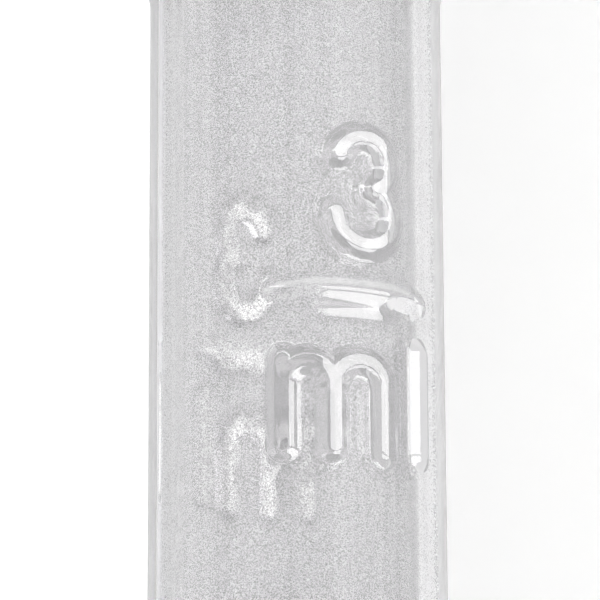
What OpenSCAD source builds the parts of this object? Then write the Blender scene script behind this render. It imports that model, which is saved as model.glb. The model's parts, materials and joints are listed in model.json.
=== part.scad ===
// Graduated transfer pipette: one blow-moulded polyethylene shell that is tip, barrel and
// squeeze bulb in one.
//
// Frame: the pipette lies as it comes to rest on a table, on the foot of its barrel and on
// its bulb, with the tip clear of the table. It has rolled off its graduations, so the front
// scale faces up and to the +X side. +Z is up, the bulb is towards +Y and the tip towards -Y.
// The origin is on the table, below the middle of the length.
//
// The shell is first drawn standing on its tip, about the Z axis, and laid down at the end.
// "Along" below means the distance from the mouth of the tip, up that axis.

/* [Tip] */
// Outer diameter of the tip
tip_d = 3.2; // [2.6:0.1:4.5]
// Bore of the tip, which sets the drop size
tip_bore = 1.9; // [1.2:0.1:2]
// Length of the straight tip
tip_len = 22; // [10:1:40]

/* [Barrel] */
// Outer diameter of the graduated barrel
barrel_d = 8.4; // [7:0.1:10]
// Wall of the barrel
barrel_wall = 0.8; // [0.5:0.05:1.1]
// Length over which the barrel narrows to the tip
cone_len = 8; // [6:0.5:20]
// Plain barrel between the top graduation and the shoulder of the bulb
neck_len = 9; // [6:0.5:20]

/* [Bulb] */
// Outer diameter of the squeeze bulb
bulb_d = 13; // [11:0.1:16]
// Wall of the bulb, thinner than the barrel because it is blown out further
bulb_wall = 0.5; // [0.35:0.05:0.8]
// Length over which the barrel widens to the bulb
shoulder_len = 6; // [4:0.5:12]
// Length of the straight part of the bulb
bulb_len = 28; // [20:1:50]
// Height of the domed end of the bulb
dome_h = 5.5; // [3:0.5:6.5]

/* [Scale] */
// Volume at the top graduation, in millilitres
top_ml = 3; // [1:0.5:3]
// Volume between two graduations, in millilitres
step_ml = 0.5; // [0.5:0.5:1]
// How far each graduation stands out from the barrel
rib_h = 0.28; // [0.1:0.02:0.4]
// Width of a graduation where it meets the barrel
rib_w = 1; // [0.7:0.05:1.3]
// Angle that a whole millilitre's graduation spans
long_rib_angle = 78; // [50:2:100]
// Angle that a graduation between them spans
short_rib_angle = 44; // [24:2:48]

/* [Parting line] */
// How far the parting line of the mould stands out
flash_h = 0.12; // [0.06:0.02:0.2]
// Width of the parting line
flash_w = 0.34; // [0.2:0.02:0.6]
// Width of the pinched tab on the end of the bulb
tab_w = 7; // [4:0.5:9]
// Thickness of the pinched tab
tab_t = 1.2; // [0.8:0.1:2]
// How far the pinched tab stands out from the dome
tab_h = 2.2; // [1:0.1:4]
// Radius of the tab's corners
tab_corner = 1; // [0.4:0.1:1.5]

/* [Rest] */
// How far the pipette is rolled, from its scale straight up to its scale facing +X
rest_roll = 45; // [34:1:60]

/* [Hidden] */
$fn = 96;
blend_steps = 14;
dome_steps = 12;

tip_r = tip_d / 2;
tip_bore_r = tip_bore / 2;
barrel_r = barrel_d / 2;
barrel_bore_r = barrel_r - barrel_wall;
bulb_r = bulb_d / 2;
bulb_bore_r = bulb_r - bulb_wall;

// What the tip and the cone hold, in cubic millimetres. The cone's radius runs on a cosine,
// whose mean is a half and whose mean square is three eighths.
bore_growth = barrel_bore_r - tip_bore_r;
held_below_barrel = PI * tip_len * pow(tip_bore_r, 2)
    + PI * cone_len * (pow(tip_bore_r, 2) + tip_bore_r * bore_growth + 3 / 8 * pow(bore_growth, 2));

// Distances along the axis, each from the one before
barrel_start = tip_len + cone_len;
mm3_per_ml = 1000;
function mark_at(ml) = barrel_start + (ml * mm3_per_ml - held_below_barrel) / (PI * pow(barrel_bore_r, 2));
shoulder_start = mark_at(top_ml) + neck_len;
bulb_start = shoulder_start + shoulder_len;
dome_start = bulb_start + bulb_len;
tab_top = dome_start + dome_h + tab_h;

// A graduation is a round bead sunk in the wall: its radius, and how far out its centre lies
bead_r = (pow(rib_w / 2, 2) + pow(rib_h, 2)) / (2 * rib_h);
bead_at = barrel_r + rib_h - bead_r;

// Each end of a graduation is rounded by a tapered boss that starts inside the wall
end_depth = barrel_wall / 2;
end_h = 0.85 * rib_h;
end_foot_r = 0.48 * rib_w;
end_top_r = 0.33 * rib_w;
end_root_r = end_foot_r + (end_foot_r - end_top_r) * end_depth / end_h;

marks_ml = [for (ml = [step_ml : step_ml : top_ml]) if (mark_at(ml) > barrel_start + rib_w) ml];

// At rest the shell touches the table where the bulb begins, and at the foot of the barrel
// or at the tip's rim, whichever comes lower
tilt_on_tip = atan2(bulb_r - tip_r, bulb_start);
tilt_on_barrel = atan2(bulb_r - barrel_r, bulb_start - barrel_start);
rest_tilt = min(tilt_on_tip, tilt_on_barrel);
rest_height = bulb_r * cos(rest_tilt) - bulb_start * sin(rest_tilt);

// The length that the tilted shell covers on the table runs from the tip's rim to the tab
tab_drop = (tab_w / 2 - tab_corner) * sin(rest_roll) + tab_t / 2 * cos(rest_roll);
rest_middle = (tab_top * cos(rest_tilt) + (tab_drop - tip_r) * sin(rest_tilt)) / 2;

// Points [radius, along] of a smooth swell from one radius to another
function swell(from_r, to_r, from_z, to_z) = [
    for (i = [0 : blend_steps])
        let (t = i / blend_steps)
        [from_r + (to_r - from_r) * (1 - cos(180 * t)) / 2, from_z + (to_z - from_z) * t]
];

// Points [radius, along] of the domed end, from its foot to the axis
function dome(foot_r, foot_z, height) = [
    for (i = [1 : dome_steps])
        let (a = 90 * i / dome_steps)
        [i == dome_steps ? 0 : foot_r * cos(a), foot_z + height * sin(a)]
];

// The half outline of the shell's outside, with every radius grown by the same amount
module outside_outline(grown = 0) {
    polygon(concat(
        [[0, 0]],
        [[tip_r + grown, 0]],
        swell(tip_r + grown, barrel_r + grown, tip_len, barrel_start),
        swell(barrel_r + grown, bulb_r + grown, shoulder_start, bulb_start),
        [[bulb_r + grown, dome_start]],
        dome(bulb_r + grown, dome_start, dome_h + grown)
    ));
}

// The half outline of the hollow, which runs out through the mouth of the tip
module hollow_outline() {
    past_mouth = 1;
    polygon(concat(
        [[0, -past_mouth]],
        [[tip_bore_r, -past_mouth]],
        swell(tip_bore_r, barrel_bore_r, tip_len, barrel_start),
        swell(barrel_bore_r, bulb_bore_r, shoulder_start, bulb_start),
        [[bulb_bore_r, dome_start]],
        dome(bulb_bore_r, dome_start, dome_h - bulb_wall)
    ));
}

// One graduation, centred on the side that faces -Y, with rounded ends
module graduation(along, spans) {
    translate([0, 0, along])
        rotate([0, 0, -90]) {
            rotate([0, 0, -spans / 2])
                rotate_extrude(angle = spans)
                    translate([bead_at, 0])
                        circle(r = bead_r);
            for (side = [-1, 1])
                rotate([0, 0, side * spans / 2])
                    translate([barrel_r - end_depth, 0, 0])
                        rotate([0, 90, 0])
                            cylinder(h = end_depth + end_h, r1 = end_root_r, r2 = end_top_r);
        }
}

// Both mould halves carry the scale, so each graduation is on the front and on the back
module scale() {
    for (ml = marks_ml, turn = [0, 180])
        rotate([0, 0, turn])
            graduation(mark_at(ml), ml == round(ml) ? long_rib_angle : short_rib_angle);
}

// The fine ridge that the joint of the mould leaves along both sides, above the clean tip
module parting_line() {
    reach = 2 * bulb_d;
    intersection() {
        rotate_extrude()
            outside_outline(grown = flash_h);
        translate([-reach / 2, -flash_w / 2, tip_len])
            cube([reach, flash_w, tab_top - tip_len]);
    }
}

// The flat tab where the mould pinched the tube shut
module pinched_tab() {
    tab_foot = dome_start + dome_h / 2;
    straight_top = tab_top - tab_corner;
    rotate([90, 0, 0])
        translate([0, 0, -tab_t / 2])
            linear_extrude(tab_t) {
                translate([-tab_w / 2, tab_foot])
                    square([tab_w, straight_top - tab_foot]);
                translate([tab_corner - tab_w / 2, tab_foot])
                    square([tab_w - 2 * tab_corner, tab_top - tab_foot]);
                for (side = [-1, 1])
                    translate([side * (tab_w / 2 - tab_corner), straight_top])
                        circle(r = tab_corner);
            }
}

// The whole moulding, standing on its tip
module shell() {
    difference() {
        union() {
            rotate_extrude()
                outside_outline();
            scale();
            parting_line();
            pinched_tab();
        }
        rotate_extrude()
            hollow_outline();
    }
}

module pipette() {
    color([0.86, 0.87, 0.88, 0.5])
        translate([0, -rest_middle, rest_height])
            rotate([rest_tilt - 90, 0, 0])
                rotate([0, 0, rest_roll])
                    shell();
}

pipette();
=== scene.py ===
import json
import math

import bpy
import numpy as np
from bpy.props import FloatProperty, FloatVectorProperty, PointerProperty
from mathutils import Matrix


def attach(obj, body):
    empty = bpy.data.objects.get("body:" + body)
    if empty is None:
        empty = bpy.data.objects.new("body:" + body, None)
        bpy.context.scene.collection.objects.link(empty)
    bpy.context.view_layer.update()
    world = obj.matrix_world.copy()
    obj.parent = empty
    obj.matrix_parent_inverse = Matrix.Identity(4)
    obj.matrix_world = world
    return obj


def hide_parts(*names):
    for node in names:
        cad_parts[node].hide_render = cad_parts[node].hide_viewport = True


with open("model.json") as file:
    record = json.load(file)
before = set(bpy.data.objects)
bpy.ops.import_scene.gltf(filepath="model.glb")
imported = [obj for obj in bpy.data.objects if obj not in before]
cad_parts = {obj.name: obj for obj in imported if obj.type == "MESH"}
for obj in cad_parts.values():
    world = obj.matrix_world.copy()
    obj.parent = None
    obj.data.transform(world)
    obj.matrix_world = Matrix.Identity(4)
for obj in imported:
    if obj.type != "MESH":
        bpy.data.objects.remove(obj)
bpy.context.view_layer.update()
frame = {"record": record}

bl_info = {
    "name": "Transfer pipette",
    "version": (1, 0, 0),
    "blender": (4, 5, 0),
    "location": "3D View > Sidebar > Pipette",
    "description": "Builds a blow-moulded graduated transfer pipette on its packed frame",
    "category": "Add Mesh",
}

# All sizes are in millimetres until a point is placed in the frame, which is in metres, as
# the add-on's settings are.
MM = 0.001
MM3_PER_ML = 1000

MOUNTS = {mount["name"]: mount for mount in frame["record"]["mounts"]}

# The frame gives the tip and where the axis runs. The rest repeats the part's own sizes.
MOUTH = np.array(MOUNTS["tip_bore"]["pos_m"]) / MM
TO_BULB = -np.array(MOUNTS["tip_bore"]["axis"])
TIP_BORE_R = MOUNTS["tip_bore"]["dims"]["r_mm"]
TIP_R = MOUNTS["tip"]["dims"]["r_mm"]
TIP_LEN = MOUNTS["tip"]["dims"]["length_mm"]
CONE_LEN = 8.0
BARREL_R = 4.2
BARREL_BORE_R = 3.4
NECK_LEN = 9.0
SHOULDER_LEN = 6.0
BULB_R = 6.5
BULB_BORE_R = 6.0
BULB_LEN = 28.0
DOME_H = 5.5
TAB_W = 7.0
TAB_T = 1.2
TAB_H = 2.2
TAB_CORNER = 1.0
REST_ROLL = math.radians(45)

BORE_GROWTH = BARREL_BORE_R - TIP_BORE_R
BARREL_START = TIP_LEN + CONE_LEN
HELD_BELOW_BARREL = math.pi * (
    TIP_LEN * TIP_BORE_R**2
    + CONE_LEN * (TIP_BORE_R**2 + TIP_BORE_R * BORE_GROWTH + 3 / 8 * BORE_GROWTH**2)
)


def mark_at(ml):
    """Distance along the axis at which the pipette has drawn in this many millilitres."""
    held = MM3_PER_ML * ml - HELD_BELOW_BARREL
    return BARREL_START + held / (math.pi * BARREL_BORE_R**2)


TOP_MARK = mark_at(3)
SHOULDER_START = TOP_MARK + NECK_LEN
BULB_START = SHOULDER_START + SHOULDER_LEN
# The bulb's swell sets in softly, so it shows only from this far along the shoulder
SWELL_DELAY = 0.6
SWELL_START = SHOULDER_START + SWELL_DELAY
DOME_START = BULB_START + BULB_LEN
TAB_TOP = DOME_START + DOME_H + TAB_H

# Directions across the axis: the way the front scale faces, and the way its text runs
UPWARD = np.array([0.0, -TO_BULB[2], TO_BULB[1]])
SIDEWAYS = np.array([1.0, 0.0, 0.0])
FACING = math.cos(REST_ROLL) * UPWARD + math.sin(REST_ROLL) * SIDEWAYS
READING = math.cos(REST_ROLL) * SIDEWAYS - math.sin(REST_ROLL) * UPWARD


# ------------------------------------------------------------------ the scale's strokes

# Strokes are drawn on the unrolled barrel. From the middle of a mark's line, u runs to the
# right and v towards the bulb.


def line(u0, v0, u1, v1):
    """A straight stroke, from one point to another."""
    return ("line", u0, v0, u1, v1)


def arc(u, v, radius, start, end):
    """A round stroke, from its start angle to a smaller end angle, in degrees."""
    return ("arc", u, v, radius, math.radians(start), math.radians(end))


def distance(stroke, u, v):
    """How far each point lies from the middle of a stroke."""
    if stroke[0] == "line":
        u0, v0, u1, v1 = stroke[1:]
        length2 = (u1 - u0) ** 2 + (v1 - v0) ** 2
        t = np.clip(((u - u0) * (u1 - u0) + (v - v0) * (v1 - v0)) / length2, 0, 1)
        return np.hypot(u - u0 - t * (u1 - u0), v - v0 - t * (v1 - v0))
    cu, cv, radius, start, end = stroke[1:]
    turned = np.mod(start - np.arctan2(v - cv, u - cu), 2 * math.pi)
    sweep = start - end
    over = turned > sweep
    near_start = turned > (sweep + 2 * math.pi) / 2
    angle = start - np.where(over, np.where(near_start, 0, sweep), turned)
    return np.hypot(u - cu - radius * np.cos(angle), v - cv - radius * np.sin(angle))


# The numerals and letters have flat crests, this share of their width, and the lines round ones
LETTER_FLAT = 0.25

# Each end of a line narrows over this length, by this much a millimetre on each side
TAPER_LENGTH = 1.3
LINE_TAPER = 0.3

# Each line, as far as it reaches to the left and to the right of the middle of the scale
LONG_LINE = line(-2.6, 0, 2.15, 0)
SHORT_LINE = line(-1.55, 0, 1.3, 0)

NUMERAL_3 = [arc(0.06, 3.74, 0.78, 162, -62), arc(0.09, 2.29, 0.89, 62, -180)]
NUMERAL_2 = [
    arc(0.05, 3.7, 0.8, 165, -30),
    line(0.743, 3.3, -0.7, 1.46),
    line(-0.7, 1.46, 0.95, 1.46),
]
NUMERAL_1 = [line(0.2, 4.5, 0.2, 1.46), line(0.2, 4.5, -0.55, 3.85)]
LETTER_M = [
    line(-2.26, -1.95, -2.26, -4.45),
    arc(-1.57, -2.69, 0.69, 180, 0),
    line(-0.88, -2.69, -0.88, -4.45),
    arc(-0.105, -2.72, 0.775, 180, 0),
    line(0.67, -2.72, 0.67, -4.45),
]
LETTER_L = [line(2.03, -1.45, 2.03, -4.3)]

# Each mark: where it lies, its line, its other strokes, and how finely its mesh is divided
MARKS = [
    (mark_at(0.5), SHORT_LINE, [], 2),
    (mark_at(1), LONG_LINE, NUMERAL_1, 2),
    (mark_at(1.5), SHORT_LINE, [], 2),
    (mark_at(2), LONG_LINE, NUMERAL_2, 2),
    (mark_at(2.5), SHORT_LINE, [], 2),
    (mark_at(3), LONG_LINE, NUMERAL_3 + LETTER_M + LETTER_L, 3),
]
STATIONS = np.array([mark[0] for mark in MARKS])

# How far along the axis a mark is looked for, and a distance beyond all strokes
MARK_REACH = 7.0
FAR = 9.0


def aside_of_scale(angle):
    """How far points lie to the right of the middle of the nearer scale, round the barrel."""
    return BARREL_R * (np.mod(angle + math.pi / 2, math.pi) - math.pi / 2)


def above_line(along):
    """How far points lie above the nearest mark's line, towards the bulb."""
    return along - STATIONS[np.argmin(np.abs(along[:, None] - STATIONS), axis=1)]


def nearest_strokes(angle, along):
    """How far points of the barrel are from the middle of the nearest letter and line.

    The third result is the level of division of the nearest mark.
    """
    to_letter = np.full(angle.shape, FAR)
    to_line = np.full(angle.shape, FAR)
    level = np.zeros(angle.shape, dtype=int)
    aside = aside_of_scale(angle)
    for station, mark_line, letters, fineness in MARKS:
        rows = np.flatnonzero(np.abs(along - station) < MARK_REACH)
        u = aside[rows]
        v = along[rows] - station
        past_end = np.maximum(mark_line[1] - u, u - mark_line[3])
        taper = LINE_TAPER * np.clip(past_end + TAPER_LENGTH, 0, FAR)
        to_line[rows] = np.minimum(to_line[rows], distance(mark_line, u, v) + taper)
        for letter in letters:
            to_letter[rows] = np.minimum(to_letter[rows], distance(letter, u, v))
        level[rows] = fineness
    return to_letter, to_line, level


# ------------------------------------------------------------------ the shell's two surfaces


def swell(start_r, end_r, start, end, along):
    """A radius that changes smoothly from one to another between two places on the axis."""
    t = np.clip((along - start) / (end - start), 0, 1)
    return start_r + (end_r - start_r) * (1 - np.cos(math.pi * t)) / 2


def outer_radius(along):
    """Radius of the plain outside, from the mouth to the dome."""
    barrel = swell(TIP_R, BARREL_R, TIP_LEN, BARREL_START, along)
    return barrel + swell(0, BULB_R - BARREL_R, SWELL_START, BULB_START, along)


def inner_radius(along):
    """Radius of the plain hollow, from the mouth to the dome."""
    barrel = swell(TIP_BORE_R, BARREL_BORE_R, TIP_LEN, BARREL_START, along)
    return barrel + swell(0, BULB_BORE_R - BARREL_BORE_R, SWELL_START, BULB_START, along)


# The rows of the mesh run from the hollow's far end, down the inside, round the lip of the
# mouth and up the outside to the tab. Each stretch of rows has its own kind of value.
INNER_DOME, INNER, LIP, OUTER, OUTER_DOME, TAB = range(6)
LIP_DEPTH = 0.25
POLE_GAP = math.radians(4)
TAB_FOOT_ANGLE = math.radians(57)
TAB_FILLET = 0.35
TAB_EDGE = 0.25
# How the tab's flat sides turn into its narrow ends: 1 is an oval, and 0 a rectangle
TAB_OVALNESS = 0.3
# The share of the dome that stays round before it turns to the outline of the tab's foot
ROUND_DOME = 0.35


def tab_outline(angle, grown):
    """The tab's outline, as distances along FACING and READING."""
    across = np.sign(np.cos(angle)) * np.abs(np.cos(angle)) ** TAB_OVALNESS
    return across * (TAB_T / 2 + grown), np.sin(angle) * (TAB_W / 2 + grown)


def dome_height(facing, reading):
    """How far along the axis the dome lies at a place across it."""
    away = np.hypot(facing, reading) / BULB_R
    return DOME_START + DOME_H * np.sqrt(np.clip(1 - away**2, 0, 1))


def tab_top(reading):
    """How far along the axis the tab reaches, with its rounded corners."""
    past = np.clip(np.abs(reading) - (TAB_W / 2 - TAB_CORNER), 0, TAB_CORNER)
    return TAB_TOP - TAB_CORNER + np.sqrt(TAB_CORNER**2 - past**2)


def surface(kind, value, angle, relief):
    """Local points (along FACING, along READING, along the axis) of the shell's surface."""
    facing = np.zeros(angle.shape)
    reading = np.zeros(angle.shape)
    along = np.zeros(angle.shape)

    def turned(at, radius):
        """Places points at their angle, at a radius from the axis."""
        facing[at] = radius * np.cos(angle[at])
        reading[at] = radius * np.sin(angle[at])

    at = kind == INNER_DOME
    turned(at, BULB_BORE_R * np.cos(value[at]))
    along[at] = DOME_START + (DOME_H - BULB_R + BULB_BORE_R) * np.sin(value[at])

    at = kind == INNER
    turned(at, inner_radius(value[at]) + relief.inside(angle[at], value[at]))
    along[at] = value[at]

    at = kind == LIP
    turned(at, (TIP_R + TIP_BORE_R) / 2 + (TIP_R - TIP_BORE_R) / 2 * np.sin(value[at]))
    along[at] = LIP_DEPTH * (1 - np.cos(value[at]))

    at = kind == OUTER
    turned(at, outer_radius(value[at]) + relief.outside(angle[at], value[at]))
    along[at] = value[at]

    # The dome's rings change from a circle to the outline of the tab's foot
    at = kind == OUTER_DOME
    t = value[at]
    round_r = BULB_R * np.cos(t * TAB_FOOT_ANGLE)
    turning = np.clip((t - ROUND_DOME) / (1 - ROUND_DOME), 0, 1)
    turning = turning * turning * (3 - 2 * turning)
    foot_f, foot_r = tab_outline(angle[at], TAB_FILLET)
    facing[at] = round_r * np.cos(angle[at]) * (1 - turning) + foot_f * turning
    reading[at] = round_r * np.sin(angle[at]) * (1 - turning) + foot_r * turning
    along[at] = dome_height(facing[at], reading[at])
    seam = relief.seam(angle[at], BULB_R) * (1 - turning)
    facing[at] += seam * np.cos(angle[at]) * np.cos(t * TAB_FOOT_ANGLE)
    reading[at] += seam * np.sin(angle[at]) * np.cos(t * TAB_FOOT_ANGLE)
    along[at] += seam * np.sin(t * TAB_FOOT_ANGLE)

    # The tab: -1 to 0 is the fillet at its foot, 0 to 1 its sides, 1 to 2 its rounded edge
    at = kind == TAB
    t = value[at]
    fillet = np.clip(t + 1, 0, 1) * math.pi / 2
    edge = np.clip(t - 1, 0, 1) * math.pi / 2
    grown = TAB_FILLET * (1 - np.sin(fillet))
    out_f, out_r = tab_outline(angle[at], grown)
    foot = dome_height(out_f, out_r) + TAB_FILLET * (1 - np.cos(fillet))
    top = tab_top(np.sin(angle[at]) * TAB_W / 2) - TAB_EDGE
    along[at] = foot + (top - foot) * np.clip(t, 0, 1) + TAB_EDGE * np.sin(edge)
    facing[at] = out_f * (1 - TAB_EDGE / (TAB_T / 2) * (1 - np.cos(edge)))
    reading[at] = out_r
    return np.stack([facing, reading, along], axis=1)


def ridge(x, flat=0.0):
    """The cross-section of a ridge: 1 over its flat crest, 0 at its foot and beyond."""
    return (1 + np.cos(math.pi * np.clip((x - flat) / (1 - flat), 0, 1))) / 2


def within(limit, value, fade):
    """1 where a value is below its limit by a fade or more, and 0 from the limit on."""
    return np.clip((limit - value) / fade, 0, 1)


class Relief:
    """What stands out from the plain shell, how smooth and clear the mould left it, and where
    clearer skin is painted on as highlights.
    """

    # On the inside of the wall, each stroke is this much wider at both sides
    SPREAD = 0.12

    # The parting line: half its width, and the length over which it sets in above the tip
    SEAM_HALF = 0.18
    SEAM_START = 2

    # The die lines: how many waves run round the wall, how strong each may be, how much each
    # turns in a millimetre, and the seed that their places are drawn with
    DIE_WAVES = (2, 3, 7, 11, 17, 29, 43)
    DIE_SHARES = (0.3, 1)
    DIE_TWIST = 0.004
    DIE_SEED = 7

    # The polish fades out at the foot of each stroke. On a line it covers the lower flank, in
    # the middle of the scale.
    LETTER_POLISH_FADE = 0.08
    LINE_POLISH_FADE = 0.15
    LINE_POLISH_TOP = 0.2
    LINE_POLISH_REACH = 1.4
    LINE_POLISH_END = 0.4

    # The middle of a back stroke is painted clearer and brighter in patches, as a painted
    # highlight:
    # half its width on a letter. A line's distance counts for less, so its painted middle is
    # wider.
    WINDOW_HALF = 0.32
    WINDOW_FADE = 0.08
    WINDOW_LINE_SHARE = 0.6

    # The smooth joint of the mould's halves: half its width
    JOINT_HALF = 0.16
    JOINT_FADE = 0.06

    # A painted highlight along the upper edge of a front line, as clearer, brighter skin. It rises
    # from the line's left end to its height, and comes down round the right end.
    EDGE_HEIGHT = 0.24
    EDGE_LEFT_END = 2.6
    EDGE_RISE = 1.6
    EDGE_TURN = 1.2
    EDGE_TURN_LENGTH = 0.95
    EDGE_DROP = 0.5
    EDGE_DROP_LIMIT = 1.1
    EDGE_HALF = 0.12
    EDGE_FADE = 0.05
    EDGE_REACH = 0.7
    EDGE_REACH_FADE = 0.1

    # A weaker painted highlight, as clearer skin, on the core of a front numeral's strokes, which
    # start above the line
    PAINTED_CORE_HIGHLIGHT = 0.4
    CORE_HALF = 0.2
    CORE_FADE = 0.1
    NUMERAL_FOOT = 0.8
    NUMERAL_FADE = 0.2

    # How far beyond a stroke's foot the outside is still divided finely
    FINE_MARGIN = 0.04

    def __init__(self, sizes):
        self.letter_height = sizes.letter_height / MM
        self.letter_half = sizes.letter_width / MM / 2
        self.line_height = sizes.line_height / MM
        self.line_half = sizes.line_width / MM / 2
        self.follow = sizes.inner_follow
        self.seam_height = sizes.seam_height / MM
        self.die_depth = sizes.die_line_depth / MM
        draws = np.random.default_rng(self.DIE_SEED)
        self.die_lines = [
            (waves, draws.uniform(0, 2 * math.pi), draws.uniform(*self.DIE_SHARES))
            for waves in self.DIE_WAVES
        ]

    def marks(self, angle, along, spread):
        """Height of the scale's marks, each widened at both sides by a spread."""
        to_letter, to_line, _ = nearest_strokes(angle, along)
        letters = ridge(to_letter / (self.letter_half + spread), LETTER_FLAT)
        lines = ridge(to_line / (self.line_half + spread))
        return np.maximum(self.letter_height * letters, self.line_height * lines)

    def seam(self, angle, radius):
        """The ridge of the parting line, on both sides of the shell."""
        off = radius * np.abs(np.mod(angle, math.pi) - math.pi / 2)
        return self.seam_height * ridge(off / self.SEAM_HALF)

    def outside(self, angle, along):
        """How far the outside stands out from its plain radius."""
        clear = np.clip((along - TIP_LEN) / self.SEAM_START, 0, 1)
        seam = clear * self.seam(angle, outer_radius(along))
        return np.maximum(self.marks(angle, along, 0), seam)

    def inside(self, angle, along):
        """How far the hollow widens, behind the marks and in the die lines."""
        clear = np.clip((along - TIP_LEN) / CONE_LEN, 0, 1)
        waves = sum(
            share * np.cos(k * angle + phase + self.DIE_TWIST * k * along) / k
            for k, phase, share in self.die_lines
        )
        return self.follow * self.marks(angle, along, self.SPREAD) + clear * self.die_depth * waves

    def polish(self, kind, angle, along):
        """1 on the strokes, which were cut and polished in the mould, and 0 elsewhere."""
        to_letter, to_line, _ = nearest_strokes(angle, along)
        spread = np.where(kind == INNER, self.SPREAD, 0)
        letters = within(self.letter_half + spread, to_letter, self.LETTER_POLISH_FADE)
        lines = within(self.line_half, to_line, self.LINE_POLISH_FADE)
        lines *= within(self.LINE_POLISH_TOP, above_line(along), self.LINE_POLISH_TOP)
        aside = np.abs(aside_of_scale(angle))
        lines *= within(self.LINE_POLISH_REACH, aside, self.LINE_POLISH_END)
        wall = (kind == OUTER) | (kind == INNER)
        return wall * np.maximum(letters, lines)

    def window(self, kind, angle, along):
        """Painted highlight: 1 on the middle of the strokes of the mould's back half, and 0
        elsewhere.
        """
        to_letter, to_line, _ = nearest_strokes(angle, along)
        off = np.minimum(to_letter, to_line * self.WINDOW_LINE_SHARE)
        back = ((kind == OUTER) | (kind == INNER)) & (np.cos(angle) < 0)
        return back * within(self.WINDOW_HALF, off, self.WINDOW_FADE)

    def joint(self, kind, angle):
        """1 on the smooth joint of the mould's halves, and 0 elsewhere."""
        off = BARREL_R * np.abs(np.mod(angle, math.pi) - math.pi / 2)
        return (kind == OUTER) * within(self.JOINT_HALF, off, self.JOINT_FADE)

    def edge(self, kind, angle, along):
        """Painted highlight: 1 on the upper edges of the front lines, less on the cores of the
        front numerals.
        """
        to_letter, to_line, _ = nearest_strokes(angle, along)
        above = above_line(along)
        aside = aside_of_scale(angle)
        rise = np.sqrt(np.clip((aside + self.EDGE_LEFT_END) / self.EDGE_RISE, 0, 1))
        turn = np.clip((aside - self.EDGE_TURN) / self.EDGE_TURN_LENGTH, 0, self.EDGE_DROP_LIMIT)
        arch = self.EDGE_HEIGHT * rise - self.EDGE_DROP * turn**2
        edge = within(self.EDGE_HALF, np.abs(above - arch), self.EDGE_FADE)
        edge *= within(self.EDGE_REACH, to_line, self.EDGE_REACH_FADE)
        core = within(self.CORE_HALF, to_letter, self.CORE_FADE)
        core *= np.clip((above - self.NUMERAL_FOOT) / self.NUMERAL_FADE, 0, 1)
        front = ((kind == OUTER) | (kind == INNER)) & (np.cos(angle) > 0)
        return front * np.maximum(edge, self.PAINTED_CORE_HIGHLIGHT * core * (kind == OUTER))

    def level(self, kind, along, angle, reach):
        """How many times a cell that reaches this far from its middle is to be halved."""
        to_letter, to_line, fineness = nearest_strokes(angle, along)
        away = np.minimum(to_letter - self.letter_half, to_line - self.line_half)
        outer = (kind == OUTER) & (away < reach + self.FINE_MARGIN)
        inner = (kind == INNER) & (away - self.SPREAD < reach)
        return np.where(outer, fineness, np.where(inner, fineness - 1, 0))


def even(start, end, step):
    """Row boundaries from start to end, about a step apart."""
    return list(np.linspace(start, end, max(1, round(abs(end - start) / step)) + 1))


# How far apart the rows of the mesh are along the axis
TIP_STEP = 3.6
CONE_STEP = 0.8
BARREL_STEP = 1.8
MARK_STEP = 0.41
SHOULDER_STEP = 0.75
BULB_STEP = 4.0

# The other rows are this far apart, each in its own kind of value
INNER_DOME_STEP = math.radians(9)
LIP_STEP = math.radians(22.5)
OUTER_DOME_STEP = 0.08
TAB_STEP = 0.25

# How far the close rows reach from a mark's line: past its own foot, past the top of a
# numeral, and past the foot of the unit
LINE_ROWS = 0.65
NUMERAL_ROWS = 5.15
UNIT_ROWS = 5.05


def barrel_rows():
    """Row boundaries of the barrel: close together at each mark, far apart between marks."""
    rows = [BARREL_START]
    for station, _, letters, _ in MARKS:
        below = UNIT_ROWS if LETTER_L[0] in letters else LINE_ROWS
        above = NUMERAL_ROWS if letters else LINE_ROWS
        rows += even(rows[-1], station - below, BARREL_STEP)[1:]
        rows += even(rows[-1], station + above, MARK_STEP)[1:]
    return rows + even(rows[-1], SHOULDER_START, BARREL_STEP)[1:]


def wall_rows():
    """Row boundaries of a whole wall, from the mouth to the dome."""
    rows = even(LIP_DEPTH, TIP_LEN, TIP_STEP) + even(TIP_LEN, BARREL_START, CONE_STEP)[1:]
    rows += barrel_rows()[1:] + even(SHOULDER_START, BULB_START, SHOULDER_STEP)[1:]
    return rows + even(BULB_START, DOME_START, BULB_STEP)[1:]


def all_rows():
    """Every base row as (kind, value at its start, value at its end)."""
    rows = []

    def add(kind, values):
        rows.extend((kind, a, b) for a, b in zip(values, values[1:]))

    add(INNER_DOME, even(math.pi / 2 - POLE_GAP, 0, INNER_DOME_STEP))
    add(INNER, wall_rows()[::-1])
    add(LIP, even(-math.pi / 2, math.pi / 2, LIP_STEP))
    add(OUTER, wall_rows())
    add(OUTER_DOME, even(0, 1, OUTER_DOME_STEP))
    add(TAB, even(-1, 2, TAB_STEP))
    return rows


# Columns on and beside the parting line, and how far apart the others are
SEAM_COLUMNS = [math.radians(a) for a in (-3.4, -1.9, -1.1, -0.5, 0, 0.5, 1.1, 1.9, 3.4)]
COLUMN_STEP = math.radians(5.45)


def all_columns():
    """Angles of the base columns: even across the scale, close at the parting line."""
    columns = []
    for middle in (math.pi / 2, 3 * math.pi / 2):
        columns += [middle + a for a in SEAM_COLUMNS]
        last = middle + SEAM_COLUMNS[-1]
        columns += even(last, middle + math.pi + SEAM_COLUMNS[0], COLUMN_STEP)[1:-1]
    return columns + [columns[0] + 2 * math.pi]


# A base cell is halved at most this many times, so it is this many fine places wide
DEPTH = 3
FINE = 2**DEPTH


def value_at(bounds, fine_place):
    """The value at each fine place of a list of boundaries."""
    bounds = np.asarray(bounds)
    base = np.minimum(fine_place // FINE, len(bounds) - 2)
    return bounds[base] + (fine_place / FINE - base) * (bounds[base + 1] - bounds[base])


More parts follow.
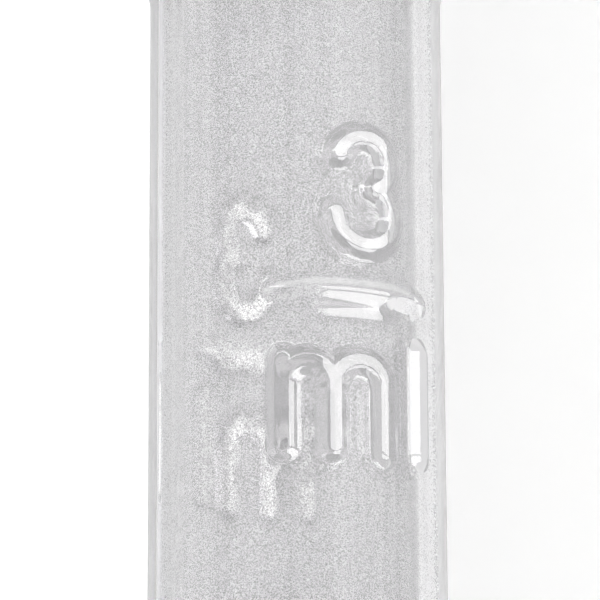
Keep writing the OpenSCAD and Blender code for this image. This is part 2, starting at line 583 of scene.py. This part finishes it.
def divided_cells(rows, columns, relief):
    """Cells (row, column, size) in fine places, halved again and again where a stroke runs."""
    kinds, starts, ends = map(np.array, zip(*rows))
    i, j = np.meshgrid(
        np.arange(len(rows)) * FINE, np.arange(len(columns) - 1) * FINE, indexing="ij"
    )
    i, j = i.ravel(), j.ravel()
    done = []
    for level in range(DEPTH):
        size = FINE >> level
        base = i // FINE
        value = starts[base] + ((i + size / 2) / FINE - base) * (ends - starts)[base]
        tall = np.abs(ends - starts)[base] * size / FINE
        left, right = value_at(columns, j), value_at(columns, j + size)
        reach = np.hypot(tall, BARREL_R * (right - left)) / 2
        more = relief.level(kinds[base], value, (left + right) / 2, reach) > level
        done.append(np.stack([i[~more], j[~more], np.full((~more).sum(), size)], axis=1))
        i, j, half = i[more], j[more], size // 2
        i = np.concatenate([i, i, i + half, i + half])
        j = np.concatenate([j, j + half, j, j + half])
    done.append(np.stack([i, j, np.ones(len(i), dtype=int)], axis=1))
    return np.concatenate(done)


# Normals are taken across steps this long on the barrel. The rows of the hollow's dome and of
# the lip are angles, so there this many times the step comes to a like length.
NORMAL_STEP = 0.004
INNER_DOME_CLIMB = 0.2
LIP_CLIMB = 4


def surface_normals(kind, value, angle, relief):
    """Normals of the true surface, across two short steps on it."""
    turn = NORMAL_STEP / BARREL_R
    left, right = (surface(kind, value, angle + side, relief) for side in (-turn, turn))
    climb = np.where(kind == INNER_DOME, INNER_DOME_CLIMB, np.where(kind == LIP, LIP_CLIMB, 1))
    climb = climb * NORMAL_STEP
    low = np.where(kind == OUTER_DOME, np.maximum(value - climb, 0), value - climb)
    rise = surface(kind, value + climb, angle, relief) - surface(kind, low, angle, relief)
    downward = (kind == INNER) | (kind == INNER_DOME)
    normals = np.cross(right - left, np.where(downward, -1.0, 1.0)[:, None] * rise)
    return normals / np.linalg.norm(normals, axis=1)[:, None]


def shell_surface(relief):
    """The whole shell as one closed skin: local points, their normals, faces and finish."""
    rows, columns = all_rows(), all_columns()
    base_columns = len(columns) - 1
    around = base_columns * FINE
    cells = divided_cells(rows, columns, relief)

    number = np.full((len(rows) * FINE + 1, around), -1)
    for di, dj in ((0, 0), (0, 1), (1, 0), (1, 1)):
        number[cells[:, 0] + di * cells[:, 2], (cells[:, 1] + dj * cells[:, 2]) % around] = 0
    at_i, at_j = np.nonzero(number == 0)
    number[at_i, at_j] = np.arange(len(at_i))

    base = np.minimum(at_i // FINE, len(rows) - 1)
    kinds, starts, ends = map(np.array, zip(*rows))
    value = starts[base] + (at_i / FINE - base) * (ends - starts)[base]
    angle = value_at(columns, at_j)
    points = surface(kinds[base], value, angle, relief)
    normals = surface_normals(kinds[base], value, angle, relief)
    # Clear skin: the smooth joint of the mould's halves, and the painted highlights on the front
    # lines and numerals
    joint, edge = relief.joint(kinds[base], angle), relief.edge(kinds[base], angle, value)
    finish = {
        "polish": relief.polish(kinds[base], angle, value),
        "window": relief.window(kinds[base], angle, value),
        "clear": np.maximum(joint, edge),
        "turn": angle,
    }

    grid = number.tolist()
    faces = []
    for i, j, size in cells.tolist():
        low, high, right = grid[i], grid[i + size], (j + size) % around
        if size == 1:
            faces.append((low[j], low[right], high[right], high[j]))
            continue
        walk = [low[k] for k in range(j, j + size)]
        walk += [grid[k][right] for k in range(i, i + size)]
        walk += [high[k % around] for k in range(j + size, j, -1)]
        walk += [grid[k][j] for k in range(i + size, i, -1)]
        faces.append(tuple(v for v in walk if v >= 0))

    # The hollow ends in one small face, and the tab's two sides meet along its top
    faces.append(tuple(v for v in reversed(grid[0]) if v >= 0))
    rim = grid[-1][::FINE]
    middle = SEAM_COLUMNS.index(0)
    for k in range(middle, middle + base_columns // 2):
        ring = [rim[n % base_columns] for n in (k, k + 1, 2 * middle - k - 1, 2 * middle - k)]
        faces.append(tuple(dict.fromkeys(ring)))
    return points, normals, faces, finish


def build_shell(name, relief):
    """The shell as a Blender mesh on the frame, in metres."""
    points, normals, faces, finish = shell_surface(relief)
    basis = np.stack([FACING, READING, TO_BULB])
    mesh = bpy.data.meshes.new(name)
    mesh.from_pydata(((MOUTH + points @ basis) * MM).tolist(), [], faces)
    mesh.shade_smooth()
    mesh.normals_split_custom_set_from_vertices((normals @ basis).tolist())
    for key, values in finish.items():
        mesh.attributes.new(key, "FLOAT", "POINT").data.foreach_set("value", values)
    return mesh


# ------------------------------------------------------------------ finish


def linear(code):
    """An sRGB hex colour as linear red, green and blue."""
    channels = [int(code[n : n + 2], 16) / 255 for n in (1, 3, 5)]
    return tuple(c / 12.92 if c <= 0.04045 else ((c + 0.055) / 1.055) ** 2.4 for c in channels)


def node(tree, kind, settings=None, links=None, **inputs):
    """Adds a node, sets its properties and inputs, and links what feeds it."""
    new = tree.nodes.new(kind)
    for key, value in (settings or {}).items():
        setattr(new, key, value)
    for key, value in inputs.items():
        new.inputs[key.replace("_", " ")].default_value = value
    for key, source in (links or {}).items():
        tree.links.new(source, new.inputs[key])
    return new


REFRACTION_INDEX = 1.51
CLEAR_ROUGHNESS = 0.01

# What the skin lets through, in a pit of its blasted grain and between the pits
PIT_TINT = "#cccbcc"
CLEAR_TINT = "#fefefe"
# What its milky haze scatters in a pit. Between the pits that is the plastic's own colour.
PIT_HAZE = "#c6c6c8"
# Matt white of the blasted skin's own reflection, and what the wall takes from a shadow
BLASTED_WHITE = "#e7e7e7"
SHADOW_TINT = "#e6e6e8"
# The share of the haze that comes out at the far side of the skin
HAZE_THROUGH = 0.4

# Sizes of the patterns from one spot to the next, and how deep the grain is, in millimetres
PATCH_SIZE = 0.7
GRAIN_SIZE = 0.04
GRAIN_DEPTH = 0.01
STREAK_SIZE = 0.4

# The part of each pattern's range over which a patch sets in, a pit turns to plain skin, and
# a streak goes from one side to the other
PATCH_RANGE = (0.37, 0.45)
PIT_RANGE = (0.32, 0.56)
STREAK_RANGE = (0.3, 0.7)
# How far a streak shifts the pits' share of the skin
STREAK_SHIFT = 0.025
# What the polish leaves of the grain's bumps, and how much of the skin between the pits a
# polished stroke is like
POLISHED_GRAIN = 0.2
STROKE_EVENNESS = 0.43


def polyethylene_material(finish):
    """Natural low-density polyethylene, blow-moulded: a milky, soft-glossy see-through skin.

    It dims what is behind it a little, its raised marks catch the light on their flanks, and
    the mould leaves a fine matt grain and faint lines along the barrel. Clearer, brighter skin on
    the back strokes in patches and along the front lines and numerals is painted highlight.
    """
    material = bpy.data.materials.new("ldpe_natural_blow_moulded")
    material.use_nodes = True
    tree = material.node_tree
    tree.nodes.clear()
    place = node(tree, "ShaderNodeTexCoord").outputs["Object"]
    polish = node(tree, "ShaderNodeAttribute", {"attribute_name": "polish"}).outputs["Fac"]

    # Painted highlight: the strokes of the back half are made clearer and brighter only in patches
    window = node(tree, "ShaderNodeAttribute", {"attribute_name": "window"}).outputs["Fac"]
    highlight_patch_noise = node(
        tree,
        "ShaderNodeTexNoise",
        links={"Vector": place},
        Scale=1 / (PATCH_SIZE * MM),
        Detail=3.0,
    )
    patches = node(
        tree,
        "ShaderNodeMapRange",
        links={"Value": highlight_patch_noise.outputs["Fac"]},
        From_Min=PATCH_RANGE[0],
        From_Max=PATCH_RANGE[1],
    )
    painted_back_highlight = node(
        tree,
        "ShaderNodeMath",
        {"operation": "MULTIPLY"},
        {0: window, 1: patches.outputs["Result"]},
    )
    # The joint, and the painted highlights on the front lines and numerals
    clear = node(tree, "ShaderNodeAttribute", {"attribute_name": "clear"}).outputs["Fac"]
    # Smooth: the joint, and the painted highlights that make the skin clearer and brighter
    smooth = node(
        tree,
        "ShaderNodeMath",
        {"operation": "MAXIMUM"},
        {0: painted_back_highlight.outputs[0], 1: clear},
    ).outputs[0]

    # Grain of the blasted mould, at the size that real grit leaves
    grain = node(
        tree,
        "ShaderNodeTexNoise",
        links={"Vector": place},
        Scale=1 / (GRAIN_SIZE * MM),
        Detail=1.0,
        Roughness=0.7,
    )
    # Faint streaks run along the wall, and make the pits more or fewer
    turn = node(tree, "ShaderNodeAttribute", {"attribute_name": "turn"}).outputs["Fac"]
    streaks = node(
        tree,
        "ShaderNodeTexNoise",
        {"noise_dimensions": "1D"},
        {"W": turn},
        Scale=BARREL_R / STREAK_SIZE,
        Detail=2.0,
    )
    share = node(
        tree,
        "ShaderNodeMapRange",
        links={"Value": streaks.outputs["Fac"]},
        From_Min=STREAK_RANGE[0],
        From_Max=STREAK_RANGE[1],
        To_Min=-STREAK_SHIFT,
        To_Max=STREAK_SHIFT,
    )
    streaked = node(
        tree,
        "ShaderNodeMath",
        {"operation": "ADD"},
        {0: grain.outputs["Fac"], 1: share.outputs["Result"]},
    )
    depth = node(
        tree,
        "ShaderNodeMapRange",
        links={"Value": polish},
        To_Min=finish.grain_strength,
        To_Max=finish.grain_strength * POLISHED_GRAIN,
    )
    bump = node(
        tree,
        "ShaderNodeBump",
        links={"Height": grain.outputs["Fac"], "Strength": depth.outputs["Result"]},
        Distance=GRAIN_DEPTH * MM,
    )
    pits = node(
        tree,
        "ShaderNodeMapRange",
        links={"Value": streaked.outputs[0]},
        From_Min=PIT_RANGE[0],
        From_Max=PIT_RANGE[1],
    )
    # 0 in a pit and 1 between the pits: even on a stroke, and all 1 where the skin is smooth or
    # painted clearer as a highlight
    stroked = node(
        tree,
        "ShaderNodeMapRange",
        links={"Value": polish, "To Min": pits.outputs["Result"]},
        To_Max=STROKE_EVENNESS,
    )
    even_skin = node(
        tree,
        "ShaderNodeMapRange",
        links={"Value": smooth, "To Min": stroked.outputs["Result"]},
        To_Max=1.0,
    )
    tint = node(
        tree,
        "ShaderNodeMixRGB",
        links={"Fac": even_skin.outputs["Result"]},
        Color1=(*linear(PIT_HAZE), 1),
        Color2=(*finish.tint, 1),
    )
    passing = node(
        tree,
        "ShaderNodeMixRGB",
        links={"Fac": even_skin.outputs["Result"]},
        Color1=(*linear(PIT_TINT), 1),
        Color2=(*linear(CLEAR_TINT), 1),
    )
    refracted = node(
        tree,
        "ShaderNodeBsdfRefraction",
        links={"Normal": bump.outputs["Normal"], "Color": passing.outputs["Color"]},
        Roughness=CLEAR_ROUGHNESS,
        IOR=REFRACTION_INDEX,
    )
    satin = node(
        tree,
        "ShaderNodeBsdfAnisotropic",
        links={"Normal": bump.outputs["Normal"]},
        Color=(1, 1, 1, 1),
        Roughness=finish.satin_roughness,
    )
    blasted = node(tree, "ShaderNodeBsdfDiffuse", Color=(*linear(BLASTED_WHITE), 1))
    plain = node(
        tree,
        "ShaderNodeMixShader",
        links={1: blasted.outputs["BSDF"], 2: satin.outputs["BSDF"]},
        Fac=finish.satin_share,
    )
    sharp = node(
        tree,
        "ShaderNodeBsdfAnisotropic",
        links={"Normal": bump.outputs["Normal"]},
        Color=(1, 1, 1, 1),
        Roughness=finish.roughness,
    )
    gloss = node(
        tree,
        "ShaderNodeMixShader",
        links={0: polish, 1: plain.outputs["Shader"], 2: sharp.outputs["BSDF"]},
    )
    fresnel = node(
        tree,
        "ShaderNodeFresnel",
        links={"Normal": bump.outputs["Normal"]},
        IOR=REFRACTION_INDEX,
    )
    surface_skin = node(
        tree,
        "ShaderNodeMixShader",
        links={
            0: fresnel.outputs["Fac"],
            1: refracted.outputs["BSDF"],
            2: gloss.outputs["Shader"],
        },
    )
    scattered = node(tree, "ShaderNodeBsdfDiffuse", links={"Color": tint.outputs["Color"]})
    let_through = node(tree, "ShaderNodeBsdfTranslucent", links={"Color": tint.outputs["Color"]})
    haze = node(
        tree,
        "ShaderNodeMixShader",
        links={1: scattered.outputs["BSDF"], 2: let_through.outputs["BSDF"]},
        Fac=HAZE_THROUGH,
    )
    # Where the mould left the skin smooth, and where clearer skin is painted on as a highlight, it
    # holds back less than where it is blasted
    clearness = node(
        tree,
        "ShaderNodeMapRange",
        links={"Value": smooth},
        To_Min=finish.clearness,
        To_Max=finish.stroke_clearness,
    )
    skin = node(
        tree,
        "ShaderNodeMixShader",
        links={
            0: clearness.outputs["Result"],
            1: haze.outputs["Shader"],
            2: surface_skin.outputs["Shader"],
        },
    )
    # Lets most of the lamps' light through to the floor, as a thin clear wall does
    passed = node(tree, "ShaderNodeBsdfTransparent", Color=(*linear(SHADOW_TINT), 1))
    rays = node(tree, "ShaderNodeLightPath")
    skin_or_passed = node(
        tree,
        "ShaderNodeMixShader",
        links={
            0: rays.outputs["Is Shadow Ray"],
            1: skin.outputs["Shader"],
            2: passed.outputs["BSDF"],
        },
    )
    node(tree, "ShaderNodeOutputMaterial", links={"Surface": skin_or_passed.outputs["Shader"]})
    return material


def floor_material(studio):
    """Matt white card, which the camera sees as plain white but for the soft shadow on it."""
    material = bpy.data.materials.new("matt_white_card")
    material.use_nodes = True
    tree = material.node_tree
    tree.nodes.clear()
    card = node(tree, "ShaderNodeBsdfDiffuse", Color=(*studio.floor_colour, 1))
    rays = node(tree, "ShaderNodeLightPath")
    seen = node(
        tree,
        "ShaderNodeMath",
        {"operation": "MAXIMUM"},
        {0: rays.outputs["Is Camera Ray"], 1: rays.outputs["Is Glossy Ray"]},
    )
    seen = node(
        tree,
        "ShaderNodeMath",
        {"operation": "MAXIMUM"},
        {0: seen.outputs[0], 1: rays.outputs["Is Transmission Ray"]},
    )
    lift = node(
        tree,
        "ShaderNodeMath",
        {"operation": "MULTIPLY"},
        {0: seen.outputs[0]},
    )
    lift.inputs[1].default_value = studio.floor_lift
    glow = node(tree, "ShaderNodeEmission", links={"Strength": lift.outputs[0]})
    both = node(
        tree, "ShaderNodeAddShader", links={0: card.outputs["BSDF"], 1: glow.outputs["Emission"]}
    )
    node(tree, "ShaderNodeOutputMaterial", links={"Surface": both.outputs["Shader"]})
    return material


# ------------------------------------------------------------------ the add-on


class PipetteShape(bpy.types.PropertyGroup):
    """Sizes of the relief that the mould leaves on the wall"""

    letter_height: FloatProperty(
        name="Letter height",
        description="How far the numerals and letters stand out from the barrel",
        default=0.0002,
        min=0,
        max=0.0004,
        unit="LENGTH",
        precision=5,
    )
    letter_width: FloatProperty(
        name="Letter stroke",
        description="Width of a numeral's or letter's stroke at its foot",
        default=0.00105,
        min=0.0006,
        max=0.002,
        unit="LENGTH",
        precision=5,
    )
    line_height: FloatProperty(
        name="Line height",
        description="How far the graduation lines stand out from the barrel",
        default=0.0003,
        min=0,
        max=0.0004,
        unit="LENGTH",
        precision=5,
    )
    line_width: FloatProperty(
        name="Line width",
        description="Width of a graduation line at its foot",
        default=0.0016,
        min=0.0006,
        max=0.002,
        unit="LENGTH",
        precision=5,
    )
    inner_follow: FloatProperty(
        name="Inner follow",
        description="How much of a stroke's height shows as a hollow on the inside of the wall",
        default=0.3,
        min=0,
        max=1,
        subtype="FACTOR",
    )
    seam_height: FloatProperty(
        name="Parting line height",
        description="How far the mould's parting line stands out",
        default=0.00012,
        min=0,
        max=0.0003,
        unit="LENGTH",
        precision=5,
    )
    die_line_depth: FloatProperty(
        name="Die line depth",
        description="Depth of the faint lines that the extruded tube keeps along its inside",
        default=0.00002,
        min=0,
        max=0.0001,
        unit="LENGTH",
        precision=5,
    )


class PipetteFinish(bpy.types.PropertyGroup):
    """Looks of the moulded skin"""

    tint: FloatVectorProperty(
        name="Plastic colour",
        description="Colour of the light that the milky plastic scatters",
        default=linear("#e2e2e3"),
        min=0,
        max=1,
        subtype="COLOR",
    )
    clearness: FloatProperty(
        name="Clearness",
        description="Share of the light that passes clear through instead of scattering",
        default=0.86,
        min=0,
        max=1,
        subtype="FACTOR",
    )
    # Also sets how clear the painted highlights on the back strokes and front lines are
    stroke_clearness: FloatProperty(
        name="Smooth clearness",
        description="Clearness where the mould left the skin smooth instead of blasted",
        default=1.0,
        min=0,
        max=1,
        subtype="FACTOR",
    )
    roughness: FloatProperty(
        name="Stroke roughness",
        description="Roughness of the polished strokes",
        default=0.03,
        min=0,
        max=1,
        subtype="FACTOR",
    )
    satin_share: FloatProperty(
        name="Satin share",
        description="Share of the plain skin's reflection that keeps a sheen",
        default=0.25,
        min=0,
        max=1,
        subtype="FACTOR",
    )
    satin_roughness: FloatProperty(
        name="Satin roughness",
        description="Roughness of the sheen on the plain skin between the strokes",
        default=0.3,
        min=0,
        max=1,
        subtype="FACTOR",
    )
    grain_strength: FloatProperty(
        name="Grain strength",
        description="Strength of the mould's fine grain",
        default=0.07,
        min=0,
        max=1,
        subtype="FACTOR",
    )


class PipetteStudio(bpy.types.PropertyGroup):
    """Floor and light"""

    floor_colour: FloatVectorProperty(
        name="Floor colour",
        description="Colour of the floor",
        default=linear("#f5f5f4"),
        min=0,
        max=1,
        subtype="COLOR",
    )
    floor_lift: FloatProperty(
        name="Floor lift",
        description="How much whiter the camera sees the floor than the lamps make it",
        default=0.3,
        min=0,
        max=1,
    )
    ambient: FloatProperty(
        name="Ambient light", description="Strength of the even light", default=0.95, min=0, max=1
    )
    softbox: FloatProperty(
        name="Softbox", description="Brightness of the softbox's face", default=8.8, min=0, max=30
    )


# The camera looks down on the top graduation, from the left of the scale's middle and from
# below its foot, as a hand lens would
CAMERA_DISTANCE = 129.0
CAMERA_TURN = math.radians(25.7)
CAMERA_RISE = math.radians(-16)
CAMERA_ROLL = math.radians(0.258)
AIM_ALONG = TOP_MARK + 0.91
AIM_RIGHT = 0.1
FOCAL_LENGTH = 271.9
SENSOR_WIDTH = 36

# Half the floor's width, and how near to the camera it starts to see, in metres
FLOOR_HALF = 6.0
CLIP_START = 0.01

# The lamps' distance from the top graduation, in millimetres
SOFTBOX_DISTANCE = 420.0
# Softboxes towards the tip, over the bulb and at both sides are mirrored on the polished
# strokes, as clear-cut highlights. The even light does the rest. Each has its name, its share
# of the brightness, and its turns and rises in degrees, as softbox() says.
SOFTBOXES = (
    ("softbox_low", 1, (21, 69), (-38, -4)),
    ("softbox_strip", 1, (-28, 20), (19, 30)),
    ("softbox_left", 0.3, (-105, -65), (-30, 60)),
    ("softbox_side", 1, (20, 70), (8, 30)),
)


def axes_towards(turn, rise):
    """Right, up and backward directions of what looks at the axis from a place beside it.

    The place is turned to the scale's left, and raised towards the bulb.
    """
    across = math.cos(turn) * FACING - math.sin(turn) * READING
    back = math.cos(rise) * across + math.sin(rise) * TO_BULB
    right = np.cross(TO_BULB, back)
    right /= np.linalg.norm(right)
    return right, np.cross(back, right), back


def camera_axes():
    """The camera's right, up and backward directions."""
    right, up, back = axes_towards(CAMERA_TURN, CAMERA_RISE)
    level = math.cos(CAMERA_ROLL) * right - math.sin(CAMERA_ROLL) * up
    return level, np.cross(back, level), back


def look_from(place, right, up, back):
    """A matrix that stands an object at a place in millimetres, turned to three directions."""
    matrix = Matrix.Identity(4)
    for column, direction in enumerate((right, up, back)):
        for row in range(3):
            matrix[row][column] = direction[row]
    for row in range(3):
        matrix[row][3] = place[row] * MM
    return matrix


def softbox(context, name, brightness, turns, rises):
    """A soft lamp that fills a window of directions, as the top graduation sees it.

    Its turns are degrees round the barrel from the camera's side, towards the right. Its rises
    are degrees above the graduation's own level, towards the bulb.
    """
    right, up, back = axes_towards(
        CAMERA_TURN - math.radians(sum(turns) / 2), math.radians(sum(rises) / 2)
    )
    width, height = (
        2 * SOFTBOX_DISTANCE * math.tan(math.radians(end - start) / 2) * MM
        for start, end in (turns, rises)
    )
    light = bpy.data.lights.new(name, "AREA")
    light.shape = "RECTANGLE"
    light.size = width
    light.size_y = height
    light.energy = brightness * math.pi * light.size * light.size_y
    lamp = bpy.data.objects.new(name, light)
    place = MOUTH + TOP_MARK * TO_BULB + SOFTBOX_DISTANCE * back
    lamp.matrix_world = look_from(place, right, up, back)
    lamp.visible_camera = False
    lamp.visible_diffuse = False
    context.collection.objects.link(lamp)


class PIPETTE_OT_build_stage(bpy.types.Operator):
    """Build the floor, the soft light and the camera"""

    bl_idname = "pipette.build_stage"
    bl_label = "Stage"

    def execute(self, context):
        scene = context.scene
        studio = scene.pipette_studio
        scene.view_settings.view_transform = "Standard"

        right, up, back = camera_axes()
        aim = MOUTH + AIM_ALONG * TO_BULB + AIM_RIGHT * right
        lens = bpy.data.cameras.new("camera")
        lens.lens = FOCAL_LENGTH
        lens.sensor_width = SENSOR_WIDTH
        lens.clip_start = CLIP_START
        camera = bpy.data.objects.new("camera", lens)
        camera.matrix_world = look_from(aim + CAMERA_DISTANCE * back, right, up, back)
        context.collection.objects.link(camera)
        scene.camera = camera

        mesh = bpy.data.meshes.new("floor")
        corners = [(-1, -1), (1, -1), (1, 1), (-1, 1)]
        places = [(FLOOR_HALF * x, FLOOR_HALF * y, 0) for x, y in corners]
        mesh.from_pydata(places, [], [(0, 1, 2, 3)])
        mesh.materials.append(floor_material(studio))
        floor = bpy.data.objects.new("floor", mesh)
        context.collection.objects.link(floor)

        world = bpy.data.worlds.new("studio")
        world.use_nodes = True
        world.node_tree.nodes.clear()
        even_light = node(world.node_tree, "ShaderNodeBackground", Strength=studio.ambient)
        node(
            world.node_tree,
            "ShaderNodeOutputWorld",
            links={"Surface": even_light.outputs["Background"]},
        )
        scene.world = world

        for name, share, turns, rises in SOFTBOXES:
            softbox(context, name, studio.softbox * share, turns, rises)
        return {"FINISHED"}


class PIPETTE_OT_build_shell(bpy.types.Operator):
    """Build the blow-moulded shell: tip, graduated barrel, bulb and tab in one piece"""

    bl_idname = "pipette.build_shell"
    bl_label = "Pipette shell"

    def execute(self, context):
        mesh = build_shell("pipette_shell", Relief(context.scene.pipette_shape))
        mesh.materials.append(polyethylene_material(context.scene.pipette_finish))
        shell = bpy.data.objects.new("pipette_shell", mesh)
        context.collection.objects.link(shell)
        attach(shell, "root")
        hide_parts("pipette")
        return {"FINISHED"}


class PIPETTE_PT_panel(bpy.types.Panel):
    """Every setting, and a button for each build step"""

    bl_label = "Transfer pipette"
    bl_space_type = "VIEW_3D"
    bl_region_type = "UI"
    bl_category = "Pipette"

    def draw(self, context):
        for group in ("pipette_shape", "pipette_finish", "pipette_studio"):
            values = getattr(context.scene, group)
            box = self.layout.box()
            for key in values.__annotations__:
                box.prop(values, key)
        self.layout.operator(PIPETTE_OT_build_stage.bl_idname)
        self.layout.operator(PIPETTE_OT_build_shell.bl_idname)


CLASSES = (
    PipetteShape,
    PipetteFinish,
    PipetteStudio,
    PIPETTE_OT_build_stage,
    PIPETTE_OT_build_shell,
    PIPETTE_PT_panel,
)


def register():
    """Adds the add-on's classes and its three groups of settings."""
    for cls in CLASSES:
        bpy.utils.register_class(cls)
    bpy.types.Scene.pipette_shape = PointerProperty(type=PipetteShape)
    bpy.types.Scene.pipette_finish = PointerProperty(type=PipetteFinish)
    bpy.types.Scene.pipette_studio = PointerProperty(type=PipetteStudio)


def unregister():
    """Takes away what register() adds."""
    del bpy.types.Scene.pipette_studio
    del bpy.types.Scene.pipette_finish
    del bpy.types.Scene.pipette_shape
    for cls in reversed(CLASSES):
        bpy.utils.unregister_class(cls)


def main():
    """Builds the stage and the pipette."""
    register()
    bpy.ops.pipette.build_stage()
    bpy.ops.pipette.build_shell()


if __name__ == "__main__":
    main()
